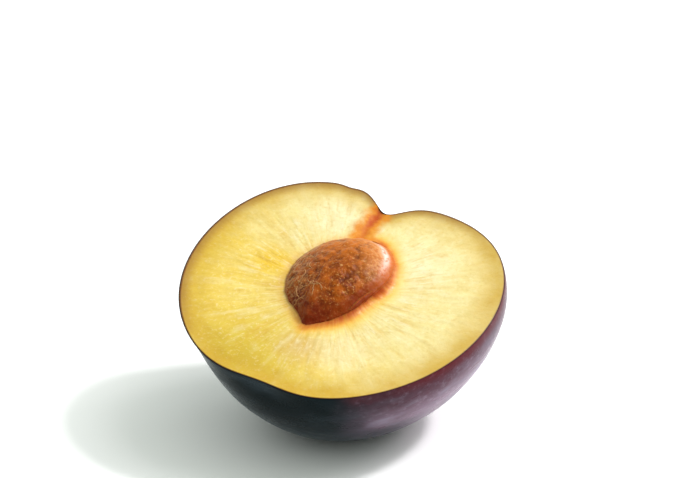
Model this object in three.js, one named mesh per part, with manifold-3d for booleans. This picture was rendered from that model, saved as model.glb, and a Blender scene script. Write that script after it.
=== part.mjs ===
// A halved plum lying on its rounded side, cut face up, with its stone still seated in the flesh.
// Millimetres, +Z up. The fruit is shaped in the frame of its cut face (X right, Y away, Z out of the
// face) and is then leaned forward, so that it rests on the small flat spot under its skin.
import * as THREE from "three";
import { mergeVertices } from "three/addons/utils/BufferGeometryUtils.js";
import Module from "manifold-3d";

const wasm = await Module();
wasm.setup();

const DEGREE = Math.PI / 180;

// How the half lies
const LEAN = 17 * DEGREE; // the cut face leans forward by this much
const STEM_HEADING = 31 * DEGREE; // the stem end points away and to the right of +Y
const FLAT_SPOT_LIFT = 1.25; // how much the resting spot takes off the round underside

// The fruit, measured round the stem axis from a centre in the cut face
const FACE_RADIUS = 28.8; // mean radius of the cut face
const STEM_SWELL = 2.0; // the stem half is that much broader
const LENGTH_SWELL = 1.45; // a little longer along the axis than across it
const DEPTH = 25.4; // from the cut face to the bottom of the round
const CUT_OFFSET = 4.3; // the knife passed this far from the middle of the round
const BODY_SHIFT = [1.75, -0.5]; // the knife ran askew, so the round bulges past the face to the right
const SHIFT_DEPTH = 3.5; // within about this depth below the face

// Hollows in the round: where they point, how deep they are and how wide they spread
const HOLLOWS = [
  { name: "stem cavity", heading: -7.5 * DEGREE, deep: 4.4, spread: 9 * DEGREE },
  { name: "stem shoulder", heading: -3.5 * DEGREE, deep: 5.95, spread: 29.6 * DEGREE },
  { name: "blossom dimple", heading: 178 * DEGREE, deep: 1.67, spread: 15 * DEGREE },
  { name: "shoulder dent", heading: -25.4 * DEGREE, deep: 0.5, spread: 3.5 * DEGREE },
];

// The stone: its outline is a round wave about its own axis, drawn out to a point at the blossom end
const STONE_HEADING = 27.5 * DEGREE;
const STONE_CENTRE = [-0.6, -0.7];
const STONE_ROLL = 12 * DEGREE; // lifts the right-hand seam above the cut face
const STONE_RADIUS = 9.6;
const STONE_WAVES = [
  { along: 3.2, across: -1.4 }, // one lobe: the stone lies off its centre
  { along: 1.3, across: 0 }, // two lobes: longer than wide
  { along: 0.37, across: 0.14 }, // three lobes
];
const TIP_LENGTH = 2.5;
const TIP_SPREAD = 15.5 * DEGREE;
const TIP_ROUNDING = 2.8 * DEGREE;
const STONE_HALF_THICKNESS = 5.0;
const CROWN_SHIFT = 0.6; // how far the crown follows the first lobe
const SEAM_SHARPNESS = 1.25; // 1 is an ellipse, more is a lens
const SEAM_RIDGE = 0.5; // the raised seam round the edge
const SEAM_RIDGE_SPREAD = 9 * DEGREE;
const RELIEF_DEPTH = 0.3; // pits and wrinkles reach this far in
const STONE_GAP = 0.35; // clearance between the stone and the flesh

// Where a face of the half counts as flesh and not as skin
const FACE_TOLERANCE = 0.001;
const PIT_REACH = 16;
const PIT_FLOOR = -8;

// Facets
const FRUIT_SEGMENTS = 96;
const FRUIT_RINGS = 22;
const STONE_SEGMENTS = 56;
const STONE_RINGS = 34;

const skinMaterial = new THREE.MeshStandardMaterial({ color: 0x1c1420, roughness: 0.28, metalness: 0 });
const fleshMaterial = new THREE.MeshStandardMaterial({ color: 0xf0d489, roughness: 0.38, metalness: 0 });
const stoneMaterial = new THREE.MeshStandardMaterial({ color: 0x8a4a22, roughness: 0.45, metalness: 0 });

// A bump that is 1 at zero and fades out over a spread
function bump(angle, spread) {
  return Math.exp(-((angle / spread) ** 2));
}

// A point that is 1 at zero, with straight flanks and a slightly rounded top
function spike(angle, spread, rounding) {
  return Math.exp((rounding - Math.hypot(angle, rounding)) / spread);
}

// The turn from one heading to another, between minus and plus half a turn
function turn(from, to) {
  return Math.atan2(Math.sin(to - from), Math.cos(to - from));
}

// A closed surface from rings of points, with one point capping each end. Rings run anticlockwise seen
// from the end cap, so the faces point outwards.
function closedLoft(startCap, rings, endCap) {
  const count = rings[0].length;
  const positions = [startCap, ...rings.flat(), endCap].flatMap((p) => p.toArray());
  const corner = (ring, k) => 1 + ring * count + (k % count);
  const last = 1 + rings.length * count;
  const index = [];
  for (let k = 0; k < count; k++) {
    index.push(0, corner(0, k + 1), corner(0, k));
    index.push(last, corner(rings.length - 1, k), corner(rings.length - 1, k + 1));
    for (let ring = 0; ring + 1 < rings.length; ring++) {
      index.push(corner(ring, k), corner(ring, k + 1), corner(ring + 1, k + 1));
      index.push(corner(ring, k), corner(ring + 1, k + 1), corner(ring + 1, k));
    }
  }
  const geometry = new THREE.BufferGeometry();
  geometry.setAttribute("position", new THREE.Float32BufferAttribute(positions, 3));
  geometry.setIndex(index);
  return geometry;
}

// How far the skin is from the centre, for a heading off the stem axis and a drop below the cut face
function skinDistance(heading, drop) {
  const faceRadius =
    FACE_RADIUS + STEM_SWELL * Math.cos(heading) + LENGTH_SWELL * Math.cos(2 * heading);
  const halfHeight = DEPTH + CUT_OFFSET;
  const widest = faceRadius ** 2 / (1 - (CUT_OFFSET / halfHeight) ** 2);
  // Where the ray meets an ellipsoid whose middle lies above the cut face
  const a = Math.cos(drop) ** 2 / widest + (Math.sin(drop) / halfHeight) ** 2;
  const b = (2 * CUT_OFFSET * Math.sin(drop)) / halfHeight ** 2;
  const c = (CUT_OFFSET / halfHeight) ** 2 - 1;
  let distance = (-b + Math.sqrt(b * b - 4 * a * c)) / (2 * a);
  for (const hollow of HOLLOWS) {
    const off = Math.acos(Math.cos(drop) * Math.cos(turn(hollow.heading, heading)));
    distance -= hollow.deep * bump(off, hollow.spread);
  }
  return distance;
}

// A point of the skin in the frame of the cut face
function skinPoint(heading, drop) {
  const distance = skinDistance(heading, drop);
  const flat = distance * Math.cos(drop);
  const down = distance * Math.sin(drop);
  const bearing = STEM_HEADING + heading;
  const shift = 1 - Math.exp(-down / SHIFT_DEPTH);
  return new THREE.Vector3(
    flat * Math.sin(bearing) + BODY_SHIFT[0] * shift,
    flat * Math.cos(bearing) + BODY_SHIFT[1] * shift,
    -down,
  );
}

// The round of the fruit, closed by the cut face
function fruitRound() {
  const rings = [];
  for (let ring = 0; ring < FRUIT_RINGS; ring++) {
    const drop = (90 * DEGREE * ring) / FRUIT_RINGS;
    const headings = Array.from({ length: FRUIT_SEGMENTS }, (_, k) => (-2 * Math.PI * k) / FRUIT_SEGMENTS);
    rings.push(headings.map((heading) => skinPoint(heading, drop)));
  }
  const middle = new THREE.Vector3(0, 0, 0);
  return closedLoft(skinPoint(0, 90 * DEGREE), rings.reverse(), middle);
}

// The slab of space above the resting spot, in the frame of the cut face
function aboveTable() {
  const size = 4 * FACE_RADIUS;
  const bottom = lowestPoint() + FLAT_SPOT_LIFT;
  const slab = new THREE.BoxGeometry(size, size, size);
  slab.translate(0, 0, bottom + size / 2);
  return slab.rotateX(-LEAN);
}

// The height of the round's lowest point once the fruit is leaned forward
function lowestPoint() {
  const leaned = fruitRound().rotateX(LEAN);
  leaned.computeBoundingBox();
  return leaned.boundingBox.min.z;
}

// Pits and wrinkles of the stone, from 0 on the crests to 1 in the deepest pits
function relief(p) {
  const wrinkle = Math.sin(1.3 * p.y + 1.6 * Math.sin(0.45 * p.x + 0.4) + 0.6 * p.z);
  const pit = Math.sin(1.5 * p.y + Math.sin(0.8 * p.x + 1.3)) * Math.sin(1.35 * p.x - 0.6 * p.y + 2.1);
  const grain = Math.sin(1.9 * p.x + 1.5 * p.y + 1.2 * p.z) * Math.sin(1.8 * p.y - 1.2 * p.x + 0.6);
  return THREE.MathUtils.clamp(0.5 - 0.2 * wrinkle - 0.26 * pit - 0.2 * grain, 0, 1);
}

// The stone in its own frame: X along its axis to the blunt end, Z through its thickness
function stoneBody(grow, carved) {
  const rings = [];
  const place = (heading, tilt) => {
    let radius = STONE_RADIUS + grow;
    STONE_WAVES.forEach((wave, i) => {
      radius += wave.along * Math.cos((i + 1) * heading) - wave.across * Math.sin((i + 1) * heading);
    });
    radius += TIP_LENGTH * spike(turn(Math.PI, heading), TIP_SPREAD, TIP_ROUNDING);
    radius += SEAM_RIDGE * bump(tilt, SEAM_RIDGE_SPREAD);
    const rise = Math.sin(tilt) * Math.abs(Math.sin(tilt)) ** (SEAM_SHARPNESS - 1);
    const crown = CROWN_SHIFT * Math.sin(tilt) ** 2;
    const point = new THREE.Vector3(
      radius * Math.cos(tilt) * Math.cos(heading) + crown * STONE_WAVES[0].along,
      radius * Math.cos(tilt) * Math.sin(heading) - crown * STONE_WAVES[0].across,
      (STONE_HALF_THICKNESS + grow) * rise,
    );
    if (carved) {
      const inward = new THREE.Vector3(
        Math.cos(tilt) * Math.cos(heading),
        Math.cos(tilt) * Math.sin(heading),
        Math.sin(tilt),
      );
      point.addScaledVector(inward, -RELIEF_DEPTH * relief(point));
    }
    return point;
  };
  for (let ring = 1; ring < STONE_RINGS; ring++) {
    const tilt = -90 * DEGREE + (180 * DEGREE * ring) / STONE_RINGS;
    const headings = Array.from({ length: STONE_SEGMENTS }, (_, k) => (2 * Math.PI * k) / STONE_SEGMENTS);
    rings.push(headings.map((heading) => place(heading, tilt)));
  }
  return closedLoft(place(0, -90 * DEGREE), rings, place(0, 90 * DEGREE));
}

// Lays the stone's own frame into the cut face
function seated(geometry) {
  geometry.rotateX(-STONE_ROLL);
  geometry.rotateZ(90 * DEGREE - STONE_HEADING);
  return geometry.translate(STONE_CENTRE[0], STONE_CENTRE[1], 0);
}

// A three.js geometry as a solid that can be cut, and back
function solidFrom(geometry) {
  const bare = geometry.clone();
  bare.deleteAttribute("normal");
  bare.deleteAttribute("uv");
  const merged = mergeVertices(bare);
  return new wasm.Manifold(
    new wasm.Mesh({
      numProp: 3,
      vertProperties: new Float32Array(merged.attributes.position.array),
      triVerts: new Uint32Array(merged.index.array),
    }),
  );
}

function geometryFrom(solid) {
  const mesh = solid.getMesh();
  const geometry = new THREE.BufferGeometry();
  geometry.setAttribute("position", new THREE.Float32BufferAttribute(mesh.vertProperties, 3));
  geometry.setIndex([...mesh.triVerts]);
  return geometry;
}

// Sorts the faces into skin and flesh: flesh is what the knife and the stone laid bare
function paintSkinAndFlesh(geometry) {
  const faces = geometry.toNonIndexed();
  const at = faces.attributes.position;
  const skin = [];
  const flesh = [];
  for (let i = 0; i < at.count; i += 3) {
    const corners = [0, 1, 2].map((k) => new THREE.Vector3().fromBufferAttribute(at, i + k));
    const onFace = corners.every((p) => p.z > -FACE_TOLERANCE);
    const inPit = corners.every((p) => Math.hypot(p.x, p.y) < PIT_REACH && p.z > PIT_FLOOR);
    (onFace || inPit ? flesh : skin).push(...corners.flatMap((p) => p.toArray()));
  }
  const sorted = new THREE.BufferGeometry();
  sorted.setAttribute("position", new THREE.Float32BufferAttribute([...skin, ...flesh], 3));
  sorted.addGroup(0, skin.length / 3, 0);
  sorted.addGroup(skin.length / 3, flesh.length / 3, 1);
  sorted.computeVertexNormals();
  return sorted;
}

function makeHalf() {
  const round = solidFrom(fruitRound()).intersect(solidFrom(aboveTable()));
  const pitted = round.subtract(solidFrom(seated(stoneBody(STONE_GAP, false))));
  const half = new THREE.Mesh(paintSkinAndFlesh(geometryFrom(pitted)), [skinMaterial, fleshMaterial]);
  half.name = "plum_half";
  return half;
}

function makeStone() {
  const geometry = stoneBody(0, true);
  geometry.computeVertexNormals();
  const stone = new THREE.Mesh(geometry, stoneMaterial);
  stone.name = "stone";
  stone.position.set(STONE_CENTRE[0], STONE_CENTRE[1], 0);
  stone.rotation.set(-STONE_ROLL, 0, 90 * DEGREE - STONE_HEADING, "ZYX");
  return stone;
}

// The fruit leans forward on its flat spot, and the origin is under the middle of its box
const fruit = new THREE.Group();
fruit.add(makeHalf(), makeStone());
fruit.rotation.x = LEAN;

const box = new THREE.Box3().setFromObject(fruit, true);
fruit.position.set(-(box.min.x + box.max.x) / 2, -(box.min.y + box.max.y) / 2, -box.min.z);

const plum = new THREE.Group();
plum.add(fruit);

export default plum;
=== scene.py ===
# The looks of a halved plum with its stone: fine skin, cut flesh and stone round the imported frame.
# Shapes are worked out in the frame of the cut face, in millimetres (X right, Y away, Z out of the
# face), and are then leaned forward and set down where the frame has them, in metres.
import math
import bpy
import numpy as np
from mathutils import Matrix, Vector


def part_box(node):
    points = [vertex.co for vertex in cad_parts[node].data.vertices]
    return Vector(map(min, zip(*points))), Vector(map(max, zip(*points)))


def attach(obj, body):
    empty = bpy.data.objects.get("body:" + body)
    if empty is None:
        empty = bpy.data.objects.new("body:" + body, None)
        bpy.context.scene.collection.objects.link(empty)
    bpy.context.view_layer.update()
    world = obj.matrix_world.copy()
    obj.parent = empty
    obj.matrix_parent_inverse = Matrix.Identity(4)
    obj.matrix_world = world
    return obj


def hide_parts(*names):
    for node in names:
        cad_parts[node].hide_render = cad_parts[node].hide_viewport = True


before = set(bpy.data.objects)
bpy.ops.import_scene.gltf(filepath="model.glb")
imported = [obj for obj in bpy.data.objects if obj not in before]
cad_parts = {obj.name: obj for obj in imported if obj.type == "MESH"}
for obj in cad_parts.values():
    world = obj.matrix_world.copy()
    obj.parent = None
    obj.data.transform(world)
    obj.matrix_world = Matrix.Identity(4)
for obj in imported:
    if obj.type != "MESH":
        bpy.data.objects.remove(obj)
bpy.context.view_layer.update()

MM = 0.001
DEGREE = math.pi / 180

# How the half lies
LEAN = 17 * DEGREE
STEM_HEADING = 31 * DEGREE

# The fruit
FACE_RADIUS = 28.8
STEM_SWELL = 2.0
LENGTH_SWELL = 1.45
DEPTH = 25.4
CUT_OFFSET = 4.3
BODY_SHIFT = (1.75, -0.5)  # how far the body stands off to the side, well below the cut
SHIFT_DEPTH = 3.5
HOLLOWS = (  # heading off the stem axis, depth and spread of each hollow
    (-7.5 * DEGREE, 4.4, 9 * DEGREE),
    (-3.5 * DEGREE, 5.95, 29.6 * DEGREE),
    (178 * DEGREE, 1.67, 15 * DEGREE),
    (-25.4 * DEGREE, 0.5, 3.5 * DEGREE),
)
SKIN_THICKNESS = 0.2

# The stone
STONE_HEADING = 27.5 * DEGREE
STONE_CENTRE = (-0.6, -0.7)
STONE_ROLL = 12 * DEGREE
STONE_RADIUS = 9.6
STONE_WAVES = ((3.2, -1.4), (1.3, 0.0), (0.37, 0.14))  # one, two and three waves round the outline
TIP_HEADING = math.pi
TIP_LENGTH = 2.5
TIP_SPREAD = 15.5 * DEGREE
TIP_ROUNDING = 2.8 * DEGREE
STONE_HALF_THICKNESS = 5.0
CROWN_SHIFT = 0.6
SEAM_SHARPNESS = 1.25
SEAM_RIDGE = 0.5
SEAM_RIDGE_SPREAD = 9 * DEGREE
RELIEF_DEPTH = 0.3
FINE_PIT_DEPTH = 0.13
FINE_PIT_STRETCH = (0.6, 1.0, 1.0)  # below 1 draws the pits out along the stone
FLANK_HEADING = -math.pi / 2
FLANK_TILT = 25 * DEGREE  # where the smooth flank along the lower right-hand seam ends
FLANK_BLEND = 6 * DEGREE
FLANK_SPREAD = 80 * DEGREE
FLANK_GROOVE = 0.1
PAINTED_HIGHLIGHT = (-30 * DEGREE, 20 * DEGREE, 21 * DEGREE, 7 * DEGREE)  # painted highlight: heading, spread, tilt, spread
PAINTED_HIGHLIGHT_HALO = (-28 * DEGREE, 38 * DEGREE, 32 * DEGREE, 16 * DEGREE)  # the wider, fainter painted highlight round it
LEFT_SLANT = 0.35  # how far the pulp that clings on the left leans towards the tip

# The camera, in the frame of the cut face
PHOTO_SIZE = (696, 478)
FOCAL_PIXELS = 3594.0
CAMERA_DISTANCE = 620.0
CAMERA_DIP = 40.65 * DEGREE - LEAN
FACE_CENTRE_PIXEL = (335.9, 289.2)
SENSOR_WIDTH = 36.0
CLIP_START, CLIP_END = 0.01, 20.0  # metres


# Numbers

def bump(angle, spread):
    return np.exp(-((angle / spread) ** 2))


def spike(angle, spread, rounding):
    return np.exp((rounding - np.hypot(angle, rounding)) / spread)


def smooth_step(low, high, value):
    t = np.clip((value - low) / (high - low), 0, 1)
    return t * t * (3 - 2 * t)


def turn(start, end):
    return np.arctan2(np.sin(end - start), np.cos(end - start))


GRAIN_TABLE = 4096
GRAIN_STRIDES = (73, 1259, 2741)  # spread neighbouring cells over the table
GRAIN_SHIFT = 37.3


def grain(points, size, seed):
    """Smooth noise from -1 to 1 with features of the given size, the same on every run."""
    table = np.random.RandomState(seed).uniform(-1, 1, GRAIN_TABLE)
    scaled = points / size + GRAIN_SHIFT
    cell = np.floor(scaled).astype(int)
    part = scaled - cell
    part = part * part * (3 - 2 * part)
    total = 0
    for dx in (0, 1):
        for dy in (0, 1):
            for dz in (0, 1):
                corner = (cell + np.array([dx, dy, dz])) @ np.array(GRAIN_STRIDES)
                weight = (
                    np.where(dx, part[..., 0], 1 - part[..., 0])
                    * np.where(dy, part[..., 1], 1 - part[..., 1])
                    * np.where(dz, part[..., 2], 1 - part[..., 2])
                )
                total = total + weight * table[corner % GRAIN_TABLE]
    return total


# Shape of the fruit

def skin_point(heading, drop, inset=0.0):
    """A point of the skin, for a heading off the stem axis and a drop below the cut face."""
    face = FACE_RADIUS + STEM_SWELL * np.cos(heading) + LENGTH_SWELL * np.cos(2 * heading)
    half_height = DEPTH + CUT_OFFSET
    widest = face**2 / (1 - (CUT_OFFSET / half_height) ** 2)
    a = np.cos(drop) ** 2 / widest + (np.sin(drop) / half_height) ** 2
    b = 2 * CUT_OFFSET * np.sin(drop) / half_height**2
    c = (CUT_OFFSET / half_height) ** 2 - 1
    distance = (-b + np.sqrt(b * b - 4 * a * c)) / (2 * a)
    for hollow_heading, deep, spread in HOLLOWS:
        off = np.arccos(np.clip(np.cos(drop) * np.cos(turn(hollow_heading, heading)), -1, 1))
        distance = distance - deep * bump(off, spread)
    distance = distance - inset
    flat = distance * np.cos(drop)
    down = distance * np.sin(drop)
    bearing = STEM_HEADING + heading
    shift = 1 - np.exp(-down / SHIFT_DEPTH)
    return np.stack(
        [
            flat * np.sin(bearing) + BODY_SHIFT[0] * shift,
            flat * np.cos(bearing) + BODY_SHIFT[1] * shift,
            -down,
        ],
        -1,
    )


# Shape of the stone

def coarse_relief(p):
    x, y, z = p[..., 0], p[..., 1], p[..., 2]
    wrinkle = np.sin(1.3 * y + 1.6 * np.sin(0.45 * x + 0.4) + 0.6 * z)
    pit = np.sin(1.5 * y + np.sin(0.8 * x + 1.3)) * np.sin(1.35 * x - 0.6 * y + 2.1)
    speck = np.sin(1.9 * x + 1.5 * y + 1.2 * z) * np.sin(1.8 * y - 1.2 * x + 0.6)
    return np.clip(0.5 - 0.2 * wrinkle - 0.26 * pit - 0.2 * speck, 0, 1)


def fine_relief(p):
    """Netted pits and short creases along the stone, from 0 on the crests to 1 in the pits."""
    stretched = p * np.array(FINE_PIT_STRETCH)
    net = np.abs(grain(stretched, 1.1, seed=11)) + 0.6 * np.abs(grain(stretched, 0.5, seed=12))
    return np.clip(0.8 - 1.4 * net, 0, 1) + 0.2 * grain(p, 0.3, seed=13)


def flank(heading, tilt):
    """1 on the smooth flank between the lower right-hand seam and the crest above it, 0 elsewhere."""
    side = bump(turn(FLANK_HEADING, heading), FLANK_SPREAD)
    return side * smooth_step(FLANK_TILT + FLANK_BLEND, FLANK_TILT - FLANK_BLEND, tilt)


def patch(heading, tilt, where):
    """1 in the middle of a soft oval on the stone, 0 well away from it."""
    middle, middle_spread, height, height_spread = where
    return bump(turn(middle, heading), middle_spread) * bump(tilt - height, height_spread)


def stone_local(heading, tilt, grow=0.0, carved=True):
    """A point of the stone in its own frame, and how deep it lies in a pit."""
    radius = STONE_RADIUS + grow
    for lobe, (along, across) in enumerate(STONE_WAVES, 1):
        radius = radius + along * np.cos(lobe * heading) - across * np.sin(lobe * heading)
    radius = radius + TIP_LENGTH * spike(turn(TIP_HEADING, heading), TIP_SPREAD, TIP_ROUNDING)
    radius = radius + SEAM_RIDGE * bump(tilt, SEAM_RIDGE_SPREAD)
    rise = np.sin(tilt) * np.abs(np.sin(tilt)) ** (SEAM_SHARPNESS - 1)
    crown = CROWN_SHIFT * np.sin(tilt) ** 2
    along, across = STONE_WAVES[0]
    p = np.stack(
        [
            radius * np.cos(tilt) * np.cos(heading) + crown * along,
            radius * np.cos(tilt) * np.sin(heading) - crown * across,
            (STONE_HALF_THICKNESS + grow) * rise,
        ],
        -1,
    )
    deep = coarse_relief(p) * RELIEF_DEPTH
    inward = np.stack(
        [np.cos(tilt) * np.cos(heading), np.cos(tilt) * np.sin(heading), np.sin(tilt)], -1
    )
    if carved:
        smooth = flank(heading, tilt)
        groove = bump(turn(FLANK_HEADING, heading), FLANK_SPREAD) * bump(tilt - FLANK_TILT, FLANK_BLEND)
        deep = (deep + FINE_PIT_DEPTH * fine_relief(p)) * (1 - 0.5 * smooth)
        p = p - inward * (deep + FLANK_GROOVE * groove)[..., None]
    return p, deep


def seat_stone(p):
    """Rolls the stone, turns it to its heading and moves it into the face."""
    x, y, z = p[..., 0], p[..., 1], p[..., 2]
    rolled_y = y * math.cos(STONE_ROLL) + z * math.sin(STONE_ROLL)
    rolled_z = -y * math.sin(STONE_ROLL) + z * math.cos(STONE_ROLL)
    angle = math.pi / 2 - STONE_HEADING
    return np.stack(
        [
            x * math.cos(angle) - rolled_y * math.sin(angle) + STONE_CENTRE[0],
            x * math.sin(angle) + rolled_y * math.cos(angle) + STONE_CENTRE[1],
            rolled_z,
        ],
        -1,
    )


def stone_point(heading, tilt, grow=0.0, carved=True):
    p, deep = stone_local(heading, tilt, grow, carved)
    return seat_stone(p), deep


# Setting down in the frame

def leaned(p):
    """Turns points of the cut face's frame by the lean, in millimetres."""
    y, z = p[..., 1], p[..., 2]
    return np.stack(
        [p[..., 0], y * math.cos(LEAN) - z * math.sin(LEAN), y * math.sin(LEAN) + z * math.cos(LEAN)],
        -1,
    )


def find_offset():
    """Where the face's centre stands in the row's frame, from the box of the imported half."""
    low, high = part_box("plum_half")
    headings, drops = np.meshgrid(np.linspace(-math.pi, math.pi, 721), np.linspace(0, math.pi / 2, 181))
    own = leaned(skin_point(headings, drops)).reshape(-1, 3)
    offset = np.array([(low[i] + high[i]) / 2 / MM - (own[:, i].min() + own[:, i].max()) / 2 for i in (0, 1)])
    return np.array([offset[0], offset[1], high[2] / MM - own[:, 2].max()])


FACE_CENTRE = find_offset()
TABLE_SOFTNESS = 0.03  # millimetres over which the skin rounds into its flat spot


def set_down(p):
    """From the cut face's frame to the row's, with the underside flattened on the table."""
    placed = leaned(p) + FACE_CENTRE
    z = placed[..., 2]
    placed[..., 2] = 0.5 * (z + np.sqrt(z * z + 4 * TABLE_SOFTNESS**2))
    return placed * MM


# Meshes

def loft_faces(ring_count, count):
    """Faces between rings of points, all of one length, closed round."""
    ring, k = np.meshgrid(np.arange(ring_count - 1), np.arange(count), indexing="ij")
    here = ring * count + k
    beside = ring * count + (k + 1) % count
    return np.stack([here, beside, beside + count, here + count], -1).reshape(-1, 4)


def make_piece(name, rings, caps=(None, None), values=None):
    """A closed mesh from rings of points in the cut face's frame, with a point at each capped end."""
    rings = np.asarray(rings)
    ring_count, count = rings.shape[:2]
    points = [rings.reshape(-1, 3)]
    quads = loft_faces(ring_count, count).tolist()
    k = np.arange(count)
    extra = ring_count * count
    triangles = []
    if caps[0] is not None:
        points.append(np.asarray(caps[0]).reshape(1, 3))
        triangles += np.stack([np.full(count, extra), (k + 1) % count, k], -1).tolist()
        extra += 1
    last = (ring_count - 1) * count
    if caps[1] is not None:
        points.append(np.asarray(caps[1]).reshape(1, 3))
        triangles += np.stack([np.full(count, extra), last + k, last + (k + 1) % count], -1).tolist()
    if caps[0] is None and caps[1] is None:  # a ring of rings, closed the other way too
        quads += np.stack([last + k, last + (k + 1) % count, (k + 1) % count, k], -1).tolist()
    shape = np.concatenate(points)
    mesh = bpy.data.meshes.new(name)
    mesh.from_pydata(set_down(shape).tolist(), [], quads + triangles)
    mesh.polygons.foreach_set("use_smooth", [True] * len(mesh.polygons))
    store(mesh, "fruit_mm", shape, "FLOAT_VECTOR")
    for key, value in (values or {}).items():
        store(mesh, key, value, "FLOAT")
    mesh.validate()
    mesh.update()
    piece = bpy.data.objects.new(name, mesh)
    bpy.context.scene.collection.objects.link(piece)
    return piece


def store(mesh, name, value, kind):
    """Keeps a number or a vector for each point, for the materials to read."""
    layer = mesh.attributes.new(name, kind, "POINT")
    field = "vector" if kind == "FLOAT_VECTOR" else "value"
    layer.data.foreach_set(field, np.asarray(value, np.float32).ravel())


# The stone

STONE_COLUMNS = 400
STONE_ROWS = 200


def make_stone():
    headings = np.linspace(0, 2 * math.pi, STONE_COLUMNS, endpoint=False)
    tilts = np.linspace(-math.pi / 2, math.pi / 2, STONE_ROWS + 1)[1:-1]
    heading, tilt = np.meshgrid(headings, tilts)
    rings, deep = stone_point(heading, tilt)
    poles = np.zeros(2), np.array([-math.pi / 2, math.pi / 2])
    (bottom, top), cap_deep = stone_point(*poles)
    local = stone_local(heading, tilt, carved=False)[0]
    cap_local = stone_local(*poles, carved=False)[0]
    values = {
        "along_mm": np.concatenate([local[..., 0].ravel(), cap_local[:, 0]]),
        "side_mm": np.concatenate([local[..., 1].ravel(), cap_local[:, 1]]),
        "pit": np.concatenate([deep.ravel(), cap_deep]) / (RELIEF_DEPTH + FINE_PIT_DEPTH),
        "flank": np.concatenate([flank(heading, tilt).ravel(), [1, 0]]),
        "painted_highlight": np.concatenate([patch(heading, tilt, PAINTED_HIGHLIGHT).ravel(), [0, 0]]),
        "painted_highlight_halo": np.concatenate([patch(heading, tilt, PAINTED_HIGHLIGHT_HALO).ravel(), [0, 0]]),
    }
    return make_piece("plum_stone", rings, (bottom, top), values)


# The flesh

FLESH_COLUMNS = 480
FACE_ROWS = 110
PIT_ROWS = 24
UNDER_ROWS = 26
FLESH_INSET = SKIN_THICKNESS - 0.03
CLING_GAP = -0.15  # the flesh reaches a little past the crests of the stone's relief
CLIMB = 1.9  # the flesh stands up against the lower right-hand flank of the stone by this much
CLIMB_SPREAD = 62 * DEGREE
CLIMB_REACH = 0.9
PIT_SLACK = 0.3  # the flesh stands off the hidden half of the stone by this much more
PIT_SLACK_RATE = 5  # how quickly it does so, going down
FACE_ROW_CROWDING = 1.15  # above 1 the rows of points lie closer together beside the stone
BRINK_LIMIT = 60 * DEGREE
BRINK_STEPS = 30
FAR = 30.0  # a distance past which no colour changes


def climb(heading):
    """How high the flesh stands up against the stone, for each heading round the stone."""
    return CLIMB * bump(turn(FLANK_HEADING, heading), CLIMB_SPREAD)


def tilt_at_brink(heading):
    """The tilt at which the stone's surface comes out of the flesh, for each heading."""
    low = np.full_like(heading, -BRINK_LIMIT)
    high = np.full_like(heading, BRINK_LIMIT)
    for _ in range(BRINK_STEPS):
        middle = (low + high) / 2
        above = stone_point(heading, middle, carved=False)[0][..., 2] > climb(heading)
        high = np.where(above, middle, high)
        low = np.where(above, low, middle)
    return (low + high) / 2


FIBRE_RADIUS = 16.0  # where the fibres' widths are true, in millimetres from the stone's centre
FIBRE_STRETCH = 0.16  # fibres run this many times finer across than along
FIBRE_RELIEF = 0.03
FIBRE_GRAINS = ((1.0, 0.7, 21), (0.7, 0.38, 22))  # share, width and seed
FIBRES_FROM_STONE, FIBRES_FROM_SKIN = (0.2, 3), (0.5, 5)  # where their relief comes in
SWELLS = ((0.13, 9.0, 23), (0.05, 2.6, 24), (0.02, 0.8, 25))  # height, size and seed
SWELLS_FROM_SKIN = (0, 4)
CLING_HEIGHT, CLING_REACH = 0.2, 0.5
CLING_FADE = (-9, -5)  # where the lip of flesh round the stone dies out towards its tip
EDGE_HEIGHT, EDGE_REACH = 0.08, 0.5
MOAT_DEPTH, MOAT_FROM_SKIN, MOAT_SPREAD = 0.1, 2.2, 1.6  # the slight dip inside the rim
VEIN_LINE = ((7.9, 20.9), (6.7, 18.6), (5.3, 15.8), (4.4, 13.0))  # from the notch to the stone
VEIN_DEPTH, VEIN_SPREAD = 0.25, 1.0


def fibre_space(p):
    """Points of the face with the angle round the stone and the distance from it as their axes."""
    dx = p[..., 0] - STONE_CENTRE[0]
    dy = p[..., 1] - STONE_CENTRE[1]
    reach = np.hypot(dx, dy) + 1e-6
    return np.stack([dx / reach * FIBRE_RADIUS, dy / reach * FIBRE_RADIUS, reach * FIBRE_STRETCH], -1)


def distance_to_line(p, line):
    """How far points of the face are from a line with corners."""
    nearest = np.full(p.shape[:-1], np.inf)
    for start, end in zip(line[:-1], line[1:]):
        start, end = np.array(start), np.array(end)
        way = end - start
        t = np.clip(((p[..., :2] - start) @ way) / (way @ way), 0, 1)
        nearest = np.minimum(nearest, np.linalg.norm(p[..., :2] - start - t[..., None] * way, axis=-1))
    return nearest


def flesh_relief(p, from_stone, from_skin):
    """How far the cut flesh stands above the knife's plane."""
    ray = fibre_space(p)
    fibres = sum(share * grain(ray, width, seed) for share, width, seed in FIBRE_GRAINS)
    fade = smooth_step(*FIBRES_FROM_STONE, from_stone) * smooth_step(*FIBRES_FROM_SKIN, from_skin)
    swell = sum(height * grain(p, size, seed) for height, size, seed in SWELLS)
    swell = swell * smooth_step(*SWELLS_FROM_SKIN, from_skin)
    cling = CLING_HEIGHT * np.exp(-from_stone / CLING_REACH) * smooth_step(*CLING_FADE, p[..., 1])
    edge = EDGE_HEIGHT * np.exp(-from_skin / EDGE_REACH)
    moat = -MOAT_DEPTH * bump(from_skin - MOAT_FROM_SKIN, MOAT_SPREAD)
    vein = -VEIN_DEPTH * bump(distance_to_line(p, VEIN_LINE), VEIN_SPREAD)
    return FIBRE_RELIEF * fibres * fade + swell + cling + edge + moat + vein


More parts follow.
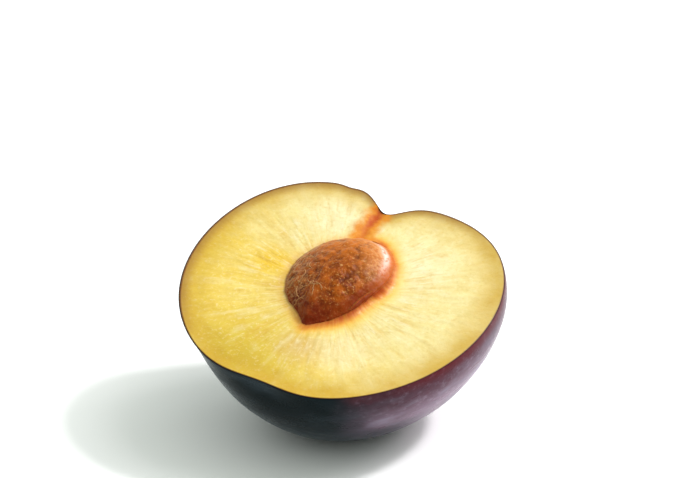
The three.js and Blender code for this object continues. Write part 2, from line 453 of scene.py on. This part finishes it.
def make_flesh():
    heading = np.linspace(0, 2 * math.pi, FLESH_COLUMNS, endpoint=False)
    tilt = tilt_at_brink(heading)
    brink = stone_point(heading, tilt, CLING_GAP)[0]
    centre = np.array([STONE_CENTRE[0], STONE_CENTRE[1]])
    bearing = np.arctan2(brink[:, 0] - centre[0], brink[:, 1] - centre[1])
    rim = skin_point(bearing - STEM_HEADING, np.zeros_like(bearing), FLESH_INSET)

    rows = []
    for t in np.linspace(0, 1, FACE_ROWS) ** FACE_ROW_CROWDING:
        row = brink * (1 - t) + rim * t
        from_stone = np.linalg.norm((row - brink)[:, :2], axis=1)
        from_skin = np.linalg.norm((row - rim)[:, :2], axis=1)
        flat = np.column_stack([row[:, :2], np.zeros(len(row))])
        collar = climb(heading) * np.exp(-from_stone / CLIMB_REACH)
        row[:, 2] = flesh_relief(flat, from_stone, from_skin) + collar
        rows.append(row)

    pit = []
    for t in np.linspace(0, 1, PIT_ROWS + 1)[1:-1]:
        depth = tilt * (1 - t) - math.pi / 2 * t
        pit.append(stone_point(heading, depth, CLING_GAP + PIT_SLACK * min(1, PIT_SLACK_RATE * t))[0])
    pit_bottom = stone_point(np.zeros(1), np.full(1, -math.pi / 2), CLING_GAP + PIT_SLACK)[0]

    under = []
    for t in np.linspace(0, 1, UNDER_ROWS + 1)[1:-1]:
        under.append(skin_point(bearing - STEM_HEADING, np.full_like(bearing, t * math.pi / 2), FLESH_INSET))
    bottom = skin_point(np.zeros(1), np.full(1, math.pi / 2), FLESH_INSET)

    rings = np.array(under[::-1] + rows[::-1] + pit)
    flat = rings[..., :2]
    from_rim = np.linalg.norm(flat - rim[None, :, :2], axis=-1)
    from_brink = np.linalg.norm(flat - brink[None, :, :2], axis=-1)
    from_rim[: len(under)] = 0
    from_brink[len(under) + len(rows) :] = 0
    values = {
        "from_skin_mm": np.concatenate([from_rim.ravel(), [0, FAR]]),
        "from_stone_mm": np.concatenate([from_brink.ravel(), [FAR, 0]]),
        "from_vein_mm": np.concatenate([distance_to_line(rings, VEIN_LINE).ravel(), [FAR, FAR]]),
        "collar": np.concatenate([np.tile(climb(heading) / CLIMB, len(rings)), [0, 0]]),
    }
    piece = make_piece("plum_flesh", rings, (bottom, pit_bottom), values)
    every = np.concatenate([rings.reshape(-1, 3), bottom, pit_bottom])
    store(piece.data, "fibre_mm", fibre_space(every), "FLOAT_VECTOR")
    return piece


# The skin

SKIN_COLUMNS = 400
OUTER_ROWS = 120
INNER_ROWS = 24
LIP_ROWS = 4
LUMP_HEIGHT, LUMP_SIZE, LUMP_SEED = 0.05, 5.0, 31
LIP_ROUND, LIP_RISE = 0.05, 0.02  # how far the cut lip of the skin stands above the face
ROUND_STRETCH = (0.3, 0.3, 1.0)  # draws noise out round the fruit, along the rim


def make_skin():
    heading = np.linspace(0, -2 * math.pi, SKIN_COLUMNS, endpoint=False)
    outer = []
    for t in np.linspace(0, 1, OUTER_ROWS + 1)[:-1]:
        drop = np.full_like(heading, t * math.pi / 2)
        row = skin_point(heading, drop)
        lumps = LUMP_HEIGHT * grain(row, LUMP_SIZE, LUMP_SEED) * smooth_step(0, 0.1, t)
        outer.append(skin_point(heading, drop, -lumps))
    inner = []
    for t in np.linspace(0, 1, INNER_ROWS + 1)[:-1]:
        inner.append(skin_point(heading, np.full_like(heading, t * math.pi / 2), SKIN_THICKNESS))
    lip = []
    for t in np.linspace(0, 1, LIP_ROWS + 1)[1:-1]:
        row = outer[0] * (1 - t) + inner[0] * t
        row[:, 2] += LIP_ROUND * math.sin(math.pi * t) + LIP_RISE
        lip.append(row)
    rings = np.array(outer[::-1] + lip + inner)
    cut = np.zeros(rings.shape[:2])
    cut[len(outer) :] = 1  # the lip that the knife left, and the inner side behind it
    pole = np.full(1, math.pi / 2)
    outer_pole = skin_point(np.zeros(1), pole)
    inner_pole = skin_point(np.zeros(1), pole, SKIN_THICKNESS)
    below = np.linalg.norm(rings - outer[0], axis=-1)
    values = {
        "cut": np.concatenate([cut.ravel(), [0, 1]]),
        "below_rim_mm": np.concatenate([below.ravel(), [FAR, FAR]]),
    }
    piece = make_piece("plum_skin", rings, (outer_pole, inner_pole), values)
    every = np.concatenate([rings.reshape(-1, 3), outer_pole, inner_pole])
    store(piece.data, "round_mm", every * np.array(ROUND_STRETCH), "FLOAT_VECTOR")
    return piece


# Materials

def new_material(name):
    material = bpy.data.materials.new(name)
    material.use_nodes = True
    tree = material.node_tree
    shader = next(n for n in tree.nodes if n.type == "BSDF_PRINCIPLED")
    return material, tree, shader


def node(tree, kind, inputs=None, **settings):
    """A new node, with each input linked to a socket or set to a value."""
    made = tree.nodes.new(kind)
    for key, value in settings.items():
        setattr(made, key, value)
    for key, value in (inputs or {}).items():
        if isinstance(value, bpy.types.NodeSocket):
            tree.links.new(value, made.inputs[key])
        else:
            made.inputs[key].default_value = value
    return made


def attribute(tree, name, output="Fac"):
    return node(tree, "ShaderNodeAttribute", attribute_name=name).outputs[output]


def math_node(tree, operation, *values):
    return node(tree, "ShaderNodeMath", dict(enumerate(values)), operation=operation).outputs[0]


def ramp(tree, value, low, high, to_low=0.0, to_high=1.0):
    """A smooth change between two values, as another value goes from low to high."""
    inputs = {"Value": value, "From Min": low, "From Max": high, "To Min": to_low, "To Max": to_high}
    return node(tree, "ShaderNodeMapRange", inputs, interpolation_type="SMOOTHSTEP").outputs[0]


def noise(tree, vector, scale, detail=3.0, roughness=0.5, distortion=0.0):
    inputs = {
        "Vector": vector, "Scale": scale, "Detail": detail, "Roughness": roughness, "Distortion": distortion,
    }
    return node(tree, "ShaderNodeTexNoise", inputs).outputs["Fac"]


def blend(tree, factor, low, high, mode="MIX"):
    made = node(tree, "ShaderNodeMix", data_type="RGBA", blend_type=mode)
    for index, value in ((0, factor), (6, low), (7, high)):
        if isinstance(value, bpy.types.NodeSocket):
            tree.links.new(value, made.inputs[index])
        else:
            made.inputs[index].default_value = value
    return made.outputs[2]


TONE = 0.8  # the lamps are brighter than white needs, so the colours given are dimmed to match


def colour(red, green, blue):
    """A colour given in screen values, 0 to 255, as the light values the shader takes."""
    def linear(value):
        value /= 255
        return TONE * (value / 12.92 if value <= 0.04045 else ((value + 0.055) / 1.055) ** 2.4)
    return (linear(red), linear(green), linear(blue), 1.0)


def paint(tree, base, tint, amount):
    """A base colour with another, given in screen values, laid over it by an amount from 0 to 1."""
    return blend(tree, amount, base, colour(*tint))


def spot(tree, place, x, y, spread):
    """1 at a place of the cut face, fading out over a spread in millimetres."""
    away = node(tree, "ShaderNodeVectorMath", {0: place, 1: (x, y, 0)}, operation="DISTANCE").outputs["Value"]
    return ramp(tree, away, spread, 0.0)


def times(tree, *values):
    """The product of several values."""
    total = values[0]
    for value in values[1:]:
        total = math_node(tree, "MULTIPLY", total, value)
    return total


def flesh_material():
    material, tree, shader = new_material("wet yellow flesh")
    place = attribute(tree, "fruit_mm", "Vector")
    from_skin = attribute(tree, "from_skin_mm")
    from_stone = attribute(tree, "from_stone_mm")
    from_vein = attribute(tree, "from_vein_mm")
    fibre_place = attribute(tree, "fibre_mm", "Vector")
    split = node(tree, "ShaderNodeSeparateXYZ", {0: place})
    across, away = split.outputs[0], split.outputs[1]
    broad_fibres = noise(tree, fibre_place, 0.6, 3.0, 0.55, 0.3)
    fine_fibres = noise(tree, fibre_place, 1.5, 4.0, 0.6, 0.3)
    clouds = noise(tree, place, 0.13, 3.0, 0.55)
    grains = noise(tree, place, 1.3, 4.0, 0.7)

    # Cream to the right and behind, yellow to the left and in front
    forward = math_node(tree, "ADD", times(tree, across, -0.75), times(tree, away, -0.3))
    warm = math_node(tree, "ADD", forward, times(tree, clouds, 18.0))
    base = blend(tree, ramp(tree, warm, 4.0, 24.0), colour(240, 224, 158), colour(236, 204, 84))
    base = paint(tree, base, (204, 178, 42), times(tree, spot(tree, place, -17, -17, 15), 0.75))
    base = paint(tree, base, (240, 198, 20), times(tree, spot(tree, place, -11.0, 7.5, 6.5), 0.9))
    base = paint(tree, base, (244, 224, 130), times(tree, spot(tree, place, -17, -1, 6), 0.6))
    base = paint(tree, base, (220, 184, 120), times(tree, spot(tree, place, -6, -14.5, 6.5), 0.7))
    base = paint(tree, base, (244, 228, 182), times(tree, spot(tree, place, 1.5, -15.5, 8), 0.6))
    base = paint(tree, base, (250, 242, 200), times(tree, spot(tree, place, 14, 6, 10), 0.8))
    base = paint(tree, base, (250, 240, 198), times(tree, spot(tree, place, 1, 19, 9), 0.75))

    # Fibres, clearest beside the stone and faint elsewhere
    patches = ramp(tree, noise(tree, place, 0.22, 2.0), 0.38, 0.62, 0.3, 1.0)
    near = ramp(tree, from_stone, 16.0, 1.0, 0.3, 1.0)
    shown = times(tree, patches, near)
    base = paint(tree, base, (226, 184, 72), times(tree, ramp(tree, broad_fibres, 0.5, 0.32), shown, 0.6))
    base = paint(tree, base, (206, 162, 56), times(tree, ramp(tree, fine_fibres, 0.5, 0.3), shown, 0.5))
    base = paint(tree, base, (250, 240, 196), times(tree, ramp(tree, broad_fibres, 0.5, 0.7), shown, 0.6))
    base = paint(tree, base, (254, 246, 214), times(tree, ramp(tree, fine_fibres, 0.52, 0.72), shown, 0.6))
    base = paint(tree, base, (252, 240, 190), ramp(tree, grains, 0.52, 0.72, 0.0, 0.5))
    base = paint(tree, base, (212, 166, 58), ramp(tree, grains, 0.48, 0.28, 0.0, 0.3))

    # Gold towards the skin, and a thin brown line under it, broadest behind
    behind = ramp(tree, math_node(tree, "SUBTRACT", away, times(tree, across, 0.5)), -6.0, 14.0)
    gold = times(tree, ramp(tree, from_skin, 7.0, 0.2), ramp(tree, clouds, 0.3, 0.7, 0.55, 0.9))
    base = paint(tree, base, (205, 163, 38), times(tree, gold, 0.95))
    olive = times(tree, ramp(tree, from_skin, 2.6, 0.1), behind)
    base = paint(tree, base, (158, 112, 40), times(tree, olive, 0.75))
    line = ramp(tree, math_node(tree, "SUBTRACT", from_skin, times(tree, behind, 0.15)), 0.25, 0.0)
    base = paint(tree, base, (112, 56, 20), times(tree, line, 0.8))

    # Orange round the stone, deepest on its right, and down the vein from the notch
    right_side = ramp(tree, math_node(tree, "SUBTRACT", across, times(tree, away, 0.5)), -8.0, 5.0, 0.15, 1.0)
    wander = ramp(tree, broad_fibres, 0.3, 0.7, 0.6, 1.0)
    glow = times(tree, ramp(tree, from_stone, 4.6, 0.8), right_side, wander)
    base = paint(tree, base, (250, 206, 40), times(tree, glow, 0.8))
    halo = times(tree, ramp(tree, from_stone, 3.0, 0.6), right_side, wander)
    base = paint(tree, base, (244, 156, 0), times(tree, halo, 0.95))
    ember = times(tree, ramp(tree, from_stone, 1.9, 0.5), right_side, wander)
    base = paint(tree, base, (198, 88, 0), times(tree, ember, 0.95))
    # Painted shade: darker in the crease where the flesh meets the stone
    painted_crease_shade = ramp(tree, from_stone, 0.5, 0.0, 0.0, 0.7)
    base = paint(tree, base, (140, 66, 4), painted_crease_shade)
    collar = times(tree, ramp(tree, from_stone, 1.0, 0.3), attribute(tree, "collar"), wander)
    base = paint(tree, base, (168, 64, 0), collar)
    blotches = noise(tree, place, 0.45, 4.0, 0.6)
    vein_edge = math_node(tree, "ADD", from_vein, times(tree, blotches, 3.4))
    base = paint(tree, base, (230, 142, 4), ramp(tree, vein_edge, 5.0, 2.6, 0.0, 0.95))
    core = times(tree, ramp(tree, vein_edge, 3.2, 1.5), ramp(tree, away, 12.0, 20.0, 0.45, 1.0))
    base = paint(tree, base, (196, 76, 0), core)

    # Patches where the wet flesh looks deeper
    watery = ramp(tree, noise(tree, place, 0.3, 3.0, 0.55, 0.6), 0.36, 0.62)
    wet = blend(tree, watery, (0.92, 0.89, 0.8, 1), (0.96, 0.96, 0.96, 1))
    base = blend(tree, 1.0, base, wet, "MULTIPLY")
    tree.links.new(base, shader.inputs["Base Color"])
    shader.inputs["Subsurface Weight"].default_value = 0.25
    shader.inputs["Subsurface Radius"].default_value = (1.0, 0.7, 0.3)
    shader.inputs["Subsurface Scale"].default_value = 0.7 * MM
    shader.inputs["Specular IOR Level"].default_value = 0.25
    rough = math_node(tree, "ADD", ramp(tree, grains, 0.35, 0.7, 0.55, 0.3), times(tree, collar, 0.4))
    tree.links.new(rough, shader.inputs["Roughness"])
    height = math_node(tree, "ADD", times(tree, fine_fibres, 0.5), times(tree, grains, 0.6))
    bumped = node(tree, "ShaderNodeBump", {"Height": height, "Strength": 0.3, "Distance": 0.3 * MM})
    tree.links.new(bumped.outputs[0], shader.inputs["Normal"])
    return material


def skin_material():
    material, tree, shader = new_material("dark plum skin")
    place = attribute(tree, "fruit_mm", "Vector")
    cut = attribute(tree, "cut")
    clouds = noise(tree, place, 0.07, 3.0, 0.55)
    mottle = noise(tree, place, 0.5, 4.0, 0.65)
    round_place = attribute(tree, "round_mm", "Vector")
    below = attribute(tree, "below_rim_mm")
    streaks = noise(tree, round_place, 0.5, 4.0, 0.6, 0.4)
    haze = noise(tree, round_place, 0.16, 3.0, 0.5)
    bloom = noise(tree, place, 0.9, 4.0, 0.7)
    split = node(tree, "ShaderNodeSeparateXYZ", {0: place})
    rightward = math_node(tree, "ADD", split.outputs[0], times(tree, clouds, 20.0))
    red_side = ramp(tree, rightward, 8.0, 27.0)

    # Blue-black to the left, red-brown to the right, deepest wine red just under the rim
    base = blend(tree, red_side, colour(0, 8, 11), colour(76, 24, 36))
    base = paint(tree, base, (96, 26, 38), times(tree, ramp(tree, mottle, 0.5, 0.75, 0.0, 0.5), red_side))

    # Pale bloom: a broad haze lower down on the right, wiped into streaks that run along the rim. Its growth
    # towards the lit right-hand side is painted sheen, standing in for the reflection of the key light and
    # the bright floor.
    lower = ramp(tree, below, 0.5, 9.0, 0.15, 1.0)
    bloom_and_painted_light = ramp(tree, rightward, 6.0, 28.0, 0.0, 0.78)
    bloom_haze_and_painted_sheen = times(tree, ramp(tree, haze, 0.25, 0.6, 0.45, 1.0), lower, bloom_and_painted_light)
    base = paint(tree, base, (166, 136, 162), bloom_haze_and_painted_sheen)
    bloom_streaks_and_painted_sheen = times(tree, ramp(tree, streaks, 0.48, 0.76), lower, ramp(tree, rightward, 4.0, 30.0, 0.025, 0.5))
    base = paint(tree, base, (184, 186, 206), bloom_streaks_and_painted_sheen)
    speckled = times(tree, ramp(tree, bloom, 0.5, 0.75), bloom_and_painted_light, 0.4)
    base = paint(tree, base, (190, 168, 190), speckled)
    # Painted sheen: a faint bluish-grey shine just under the rim
    painted_sheen = times(tree, ramp(tree, haze, 0.45, 0.65), ramp(tree, below, 11.0, 2.0), 0.14)
    base = paint(tree, base, (108, 126, 140), painted_sheen)
    wine = times(tree, ramp(tree, below, 2.4, 0.4), red_side)
    base = paint(tree, base, (96, 16, 20), times(tree, wine, 0.75))
    # Painted shade: the lower skin darkened to deep blue, except far to the right
    under = times(tree, ramp(tree, below, 7.0, 16.0), ramp(tree, rightward, 32.0, 12.0))
    base = paint(tree, base, (4, 26, 34), times(tree, under, 0.85))
    cells = node(tree, "ShaderNodeTexVoronoi", {"Vector": place, "Scale": 0.75}, feature="F1")
    size = ramp(tree, noise(tree, place, 0.5, 1.0), 0.48, 0.7, 0.0, 0.13)
    fading = {"Value": cells.outputs["Distance"], "From Min": size, "From Max": 0.0, "To Max": 0.45}
    dots = node(tree, "ShaderNodeMapRange", fading).outputs[0]
    base = paint(tree, base, (150, 134, 140), dots)
    base = paint(tree, base, (50, 18, 16), times(tree, cut, 0.9))
    tree.links.new(base, shader.inputs["Base Color"])
    rough = ramp(tree, streaks, 0.35, 0.75, 0.24, 0.45)
    tree.links.new(rough, shader.inputs["Roughness"])
    shader.inputs["Specular IOR Level"].default_value = 0.1
    shader.inputs["Specular Tint"].default_value = (0.45, 0.85, 1.0, 1.0)
    shader.inputs["Sheen Weight"].default_value = 0.1
    shader.inputs["Sheen Roughness"].default_value = 0.3
    shader.inputs["Sheen Tint"].default_value = (0.75, 0.88, 1.0, 1.0)
    height = math_node(tree, "ADD", times(tree, mottle, 0.6), times(tree, bloom, 0.4))
    bumped = node(tree, "ShaderNodeBump", {"Height": height, "Strength": 0.1, "Distance": 0.2 * MM})
    tree.links.new(bumped.outputs[0], shader.inputs["Normal"])
    return material


def stone_material():
    material, tree, shader = new_material("wet fruit stone")
    place = attribute(tree, "fruit_mm", "Vector")
    along = attribute(tree, "along_mm")
    pit = attribute(tree, "pit")
    smooth_flank = attribute(tree, "flank")
    side = attribute(tree, "side_mm")
    painted_highlight = attribute(tree, "painted_highlight")
    painted_highlight_halo = attribute(tree, "painted_highlight_halo")
    mottle = noise(tree, place, 0.42, 4.0, 0.6)
    speck = noise(tree, place, 2.2, 3.0, 0.7)
    flecks = noise(tree, place, 1.5, 2.0, 0.6)
    base = blend(tree, ramp(tree, mottle, 0.34, 0.64), colour(106, 40, 4), colour(170, 84, 14))
    base = paint(tree, base, (206, 112, 20), ramp(tree, along, -1.0, 11.0, 0.0, 0.7))
    # Painted shade: darker in the deeper pits of the relief
    base = paint(tree, base, (84, 30, 2), ramp(tree, pit, 0.4, 0.9, 0.0, 0.7))
    base = paint(tree, base, (88, 32, 2), ramp(tree, speck, 0.46, 0.3, 0.0, 0.5))
    # Pale specks: the stone's own flecks, partly painted wet glints
    base = paint(tree, base, (214, 150, 80), ramp(tree, speck, 0.54, 0.72, 0.0, 0.65))
    base = paint(tree, base, (222, 166, 104), ramp(tree, flecks, 0.6, 0.72, 0.0, 0.5))

    # A thin pale film of pulp along the upper left-hand side
    leftward = math_node(tree, "SUBTRACT", side, times(tree, along, LEFT_SLANT))
    pulp = times(tree, ramp(tree, leftward, 3.5, 8.5), ramp(tree, flecks, 0.45, 0.62, 0.0, 0.65))
    base = paint(tree, base, (184, 136, 92), pulp)
    veins = noise(tree, place, 0.5, 2.0, 0.5, 1.2)
    wisps = ramp(tree, math_node(tree, "ABSOLUTE", math_node(tree, "SUBTRACT", veins, 0.5)), 0.04, 0.0)
    wisps = times(tree, wisps, ramp(tree, leftward, -1.0, 6.0, 0.0, 0.5))
    base = paint(tree, base, (198, 148, 100), wisps)

    # The smooth flank is orange-red, orange at the blunt end and darkest at the tip
    red = times(tree, smooth_flank, ramp(tree, mottle, 0.25, 0.6, 0.4, 0.9))
    flank_colour = blend(tree, ramp(tree, along, -2.0, 10.0), colour(122, 36, 2), colour(206, 92, 0))
    base = blend(tree, red, base, flank_colour)
    base = paint(tree, base, (110, 22, 0), ramp(tree, along, -2.0, -11.0, 0.0, 0.85))

    # Painted highlight: a pale shine round the blunt end, fainter in a wider halo
    base = paint(tree, base, (218, 152, 92), times(tree, painted_highlight_halo, ramp(tree, flecks, 0.35, 0.6, 0.2, 0.8)))
    base = paint(tree, base, (250, 222, 212), times(tree, painted_highlight, ramp(tree, flecks, 0.34, 0.52, 0.3, 0.9)))
    tree.links.new(base, shader.inputs["Base Color"])
    shader.inputs["Specular IOR Level"].default_value = 0.07
    shader.inputs["Sheen Weight"].default_value = 0.15
    shader.inputs["Sheen Roughness"].default_value = 0.35
    shader.inputs["Sheen Tint"].default_value = (1.0, 0.85, 0.7, 1.0)
    dull = ramp(tree, speck, 0.3, 0.7, 0.3, 0.55)
    rough = math_node(tree, "SUBTRACT", dull, times(tree, smooth_flank, 0.05))
    tree.links.new(rough, shader.inputs["Roughness"])
    bumped = node(tree, "ShaderNodeBump", {"Height": speck, "Strength": 0.3, "Distance": 0.15 * MM})
    tree.links.new(bumped.outputs[0], shader.inputs["Normal"])
    return material


def thread_material():
    material, _, shader = new_material("pale pulp threads")
    shader.inputs["Base Color"].default_value = colour(186, 132, 80)
    shader.inputs["Roughness"].default_value = 0.45
    shader.inputs["Specular IOR Level"].default_value = 0.2
    return material


# Threads of pulp on the stone

THREAD_COUNT_PER_MM2 = 0.35
THREAD_LENGTH = 3.2
THREAD_THICKNESS = 0.16
THREAD_WANDER = 3.0
THREAD_SEED = 7
THREAD_BOW = 0.2  # how far each thread is bent before it wanders, as a share of its length
THREAD_WAVES_PER_M = 700.0
THREAD_SIZES = (0.3, 1.2)
THREAD_STEPS = 16
THREAD_SIDES = 6
CLINGING_ABOVE = (0.3, 1.0)  # heights above the face over which the threads come in
CLINGING_LEFT = (0.5, 6.0)  # the same from the middle to the left
CLINGING_OFF_TIP = (-8.5, -5.5)  # the same from the tip


def random_value(tree, low, high, seed):
    made = node(tree, "FunctionNodeRandomValue", {2: low, 3: high, "Seed": seed}, data_type="FLOAT")
    return made.outputs[1]


def thread_tree(material):
    """Scatters threads that lie on a surface, densest where its attribute "clinging" is 1."""
    tree = bpy.data.node_groups.new("pulp threads", "GeometryNodeTree")
    for name, kind, direction in (
        ("Geometry", "NodeSocketGeometry", "INPUT"),
        ("Density", "NodeSocketFloat", "INPUT"),
        ("Length", "NodeSocketFloat", "INPUT"),
        ("Thickness", "NodeSocketFloat", "INPUT"),
        ("Wander", "NodeSocketFloat", "INPUT"),
        ("Seed", "NodeSocketInt", "INPUT"),
        ("Geometry", "NodeSocketGeometry", "OUTPUT"),
    ):
        tree.interface.new_socket(name=name, in_out=direction, socket_type=kind)
    given = tree.nodes.new("NodeGroupInput").outputs
    clinging = node(tree, "GeometryNodeInputNamedAttribute", {"Name": "clinging"}, data_type="FLOAT")
    density = times(tree, given["Density"], clinging.outputs[0])
    scatter = node(
        tree, "GeometryNodeDistributePointsOnFaces",
        {"Mesh": given["Geometry"], "Density": density, "Seed": given["Seed"]},
    )
    start = node(tree, "ShaderNodeCombineXYZ", {0: times(tree, given["Length"], -0.5)}).outputs[0]
    middle = node(tree, "ShaderNodeCombineXYZ", {1: times(tree, given["Length"], THREAD_BOW)}).outputs[0]
    end = node(tree, "ShaderNodeCombineXYZ", {0: times(tree, given["Length"], 0.5)}).outputs[0]
    bow = node(
        tree, "GeometryNodeCurveQuadraticBezier",
        {"Resolution": THREAD_STEPS, "Start": start, "Middle": middle, "End": end},
    )
    spin = random_value(tree, 0.0, 2 * math.pi, given["Seed"])
    turned = node(tree, "FunctionNodeAxisAngleToRotation", {"Axis": (0, 0, 1), "Angle": spin})
    facing = node(
        tree, "FunctionNodeRotateRotation",
        {"Rotation": scatter.outputs["Rotation"], "Rotate By": turned.outputs[0]}, rotation_space="LOCAL",
    )
    size = random_value(tree, *THREAD_SIZES, given["Seed"])
    placed = node(
        tree, "GeometryNodeInstanceOnPoints",
        {
            "Points": scatter.outputs["Points"], "Instance": bow.outputs[0],
            "Rotation": facing.outputs[0], "Scale": size,
        },
    )
    strands = node(tree, "GeometryNodeRealizeInstances", {"Geometry": placed.outputs[0]})

    # Each thread wanders its own way and is laid down on the surface
    place = node(tree, "GeometryNodeInputPosition").outputs[0]
    waves = {"Vector": place, "Scale": THREAD_WAVES_PER_M, "Detail": 2.0}
    drift = node(tree, "ShaderNodeTexNoise", waves).outputs["Color"]
    centred = node(tree, "ShaderNodeVectorMath", {0: drift, 1: (0.5, 0.5, 0.5)}, operation="SUBTRACT")
    moved = node(
        tree, "ShaderNodeVectorMath",
        {0: centred.outputs[0], 1: given["Wander"], 2: place}, operation="MULTIPLY_ADD",
    )
    laid = node(
        tree, "GeometryNodeProximity",
        {"Geometry": given["Geometry"], "Sample Position": moved.outputs[0]}, target_element="FACES",
    )
    draped = node(
        tree, "GeometryNodeSetPosition",
        {"Geometry": strands.outputs[0], "Position": laid.outputs["Position"]},
    )

    # Thinner towards both ends
    way = node(tree, "GeometryNodeSplineParameter").outputs["Factor"]
    arch = math_node(tree, "SQRT", times(tree, way, math_node(tree, "SUBTRACT", 1.0, way), 4.0))
    thin = ramp(tree, arch, 0.0, 1.0, 0.25, 1.0)
    outline = node(
        tree, "GeometryNodeCurvePrimitiveCircle",
        {"Resolution": THREAD_SIDES, "Radius": times(tree, given["Thickness"], 0.5)},
    )
    tube = node(
        tree, "GeometryNodeCurveToMesh",
        {"Curve": draped.outputs[0], "Profile Curve": outline.outputs[0], "Scale": thin, "Fill Caps": True},
    )
    solid = node(tree, "GeometryNodeRealizeInstances", {"Geometry": tube.outputs[0]})
    painted = node(tree, "GeometryNodeSetMaterial", {"Geometry": solid.outputs[0], "Material": material})
    tree.links.new(painted.outputs[0], tree.nodes.new("NodeGroupOutput").inputs[0])
    return tree


def make_threads(stone):
    """Threads of pulp that the stone kept, as one plain mesh."""
    surface = stone.data.copy()
    along = np.zeros(len(surface.vertices), np.float32)
    side = np.zeros_like(along)
    surface.attributes["along_mm"].data.foreach_get("value", along)
    surface.attributes["side_mm"].data.foreach_get("value", side)
    place = np.zeros(3 * len(surface.vertices), np.float32)
    surface.attributes["fruit_mm"].data.foreach_get("vector", place)
    above = smooth_step(*CLINGING_ABOVE, place.reshape(-1, 3)[:, 2])
    left = smooth_step(*CLINGING_LEFT, side - LEFT_SLANT * along)
    store(surface, "clinging", above * left * smooth_step(*CLINGING_OFF_TIP, along), "FLOAT")
    maker = bpy.data.objects.new("thread_maker", surface)
    bpy.context.scene.collection.objects.link(maker)
    tree = thread_tree(thread_material())
    modifier = maker.modifiers.new("threads", "NODES")
    modifier.node_group = tree
    values = {
        "Density": THREAD_COUNT_PER_MM2 / MM**2, "Length": THREAD_LENGTH * MM,
        "Thickness": THREAD_THICKNESS * MM, "Wander": THREAD_WANDER * MM, "Seed": THREAD_SEED,
    }
    for socket in tree.interface.items_tree:
        if socket.in_out == "INPUT" and socket.name in values:
            modifier[socket.identifier] = values[socket.name]
    evaluated = maker.evaluated_get(bpy.context.evaluated_depsgraph_get())
    mesh = bpy.data.meshes.new_from_object(evaluated)
    mesh.name = "pulp_threads"
    bpy.data.objects.remove(maker)
    threads = bpy.data.objects.new("pulp_threads", mesh)
    bpy.context.scene.collection.objects.link(threads)
    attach(threads, "root")
    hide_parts("stone")


def floor_material():
    material, _, shader = new_material("white studio floor")
    shader.inputs["Base Color"].default_value = (0.9, 0.9, 0.9, 1)
    shader.inputs["Roughness"].default_value = 0.7
    return material


# Studio

FLOOR_REACH = 3.0  # metres
KEY_PLACE = (1.27, 0.39, 1.52)
KEY_TINT = (1.0, 0.97, 1.0)
WINDOW_PLACE = (1.6, 1.3, 0.75)
ROOM_TINT = (0.93, 1.0, 0.93, 1)
ROOM_STRENGTH = 0.95
ROOM_DIMMING = 0.5  # how much dimmer the room is in front, low down


def make_floor():
    mesh = bpy.data.meshes.new("studio_floor")
    corners = [(FLOOR_REACH * x, FLOOR_REACH * y, 0) for x, y in ((-1, -1), (1, -1), (1, 1), (-1, 1))]
    mesh.from_pydata(corners, [], [(0, 1, 2, 3)])
    floor = bpy.data.objects.new("studio_floor", mesh)
    floor.data.materials.append(floor_material())
    bpy.context.scene.collection.objects.link(floor)


def add_light(name, place, target, size, power, tint=(1, 1, 1)):
    lamp = bpy.data.lights.new(name, "AREA")
    lamp.shape = "RECTANGLE"
    lamp.size, lamp.size_y = size
    lamp.energy = power
    lamp.color = tint
    light = bpy.data.objects.new(name, lamp)
    light.location = place
    light.rotation_euler = (Vector(target) - Vector(place)).to_track_quat("-Z", "Y").to_euler()
    bpy.context.scene.collection.objects.link(light)


def light_studio():
    world = bpy.data.worlds.new("studio")
    world.use_nodes = True
    tree = world.node_tree
    backdrop = tree.nodes["Background"]
    backdrop.inputs["Color"].default_value = ROOM_TINT
    # The room is bright overhead and behind, and dim in front
    direction = node(tree, "ShaderNodeTexCoord").outputs["Generated"]
    split = node(tree, "ShaderNodeSeparateXYZ", {0: direction})
    in_front = ramp(tree, split.outputs[1], 0.3, -0.8)
    low_down = ramp(tree, split.outputs[2], 0.95, 0.2)
    strength = math_node(tree, "SUBTRACT", ROOM_STRENGTH, times(tree, in_front, low_down, ROOM_DIMMING))
    tree.links.new(strength, backdrop.inputs["Strength"])
    bpy.context.scene.world = world
    target = tuple(FACE_CENTRE * MM)
    add_light("key_lamp", KEY_PLACE, target, size=(0.24, 0.24), power=27.0, tint=KEY_TINT)
    add_light("key_softbox", KEY_PLACE, target, size=(1.1, 1.5), power=20.0, tint=KEY_TINT)
    add_light("back_window", WINDOW_PLACE, target, size=(0.9, 0.6), power=6.0)
    bpy.context.scene.view_settings.view_transform = "Standard"


def make_camera():
    pixel_x, pixel_y = FACE_CENTRE_PIXEL
    width, height = PHOTO_SIZE
    ahead = np.array([0, math.cos(CAMERA_DIP), -math.sin(CAMERA_DIP)])
    right = np.array([1.0, 0, 0])
    up = np.cross(right, ahead)
    ray = ahead + right * (pixel_x - width / 2) / FOCAL_PIXELS + up * (height / 2 - pixel_y) / FOCAL_PIXELS
    place = (FACE_CENTRE - ray / np.linalg.norm(ray) * CAMERA_DISTANCE) * MM
    lens = bpy.data.cameras.new("camera")
    lens.sensor_width = SENSOR_WIDTH
    lens.lens = FOCAL_PIXELS * SENSOR_WIDTH / width
    lens.clip_start = CLIP_START
    lens.clip_end = CLIP_END
    camera = bpy.data.objects.new("camera", lens)
    camera.matrix_world = Matrix(
        (
            (right[0], up[0], -ahead[0], place[0]),
            (right[1], up[1], -ahead[1], place[1]),
            (right[2], up[2], -ahead[2], place[2]),
            (0, 0, 0, 1),
        )
    )
    bpy.context.scene.collection.objects.link(camera)
    bpy.context.scene.camera = camera


def dress(piece, material, node_name):
    """Gives a piece its material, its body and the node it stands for."""
    piece.data.materials.append(material)
    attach(piece, "root")
    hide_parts(node_name)


make_camera()
make_floor()
light_studio()
dress(make_skin(), skin_material(), "plum_half")
dress(make_flesh(), flesh_material(), "plum_half")
stone = make_stone()
dress(stone, stone_material(), "stone")
make_threads(stone)
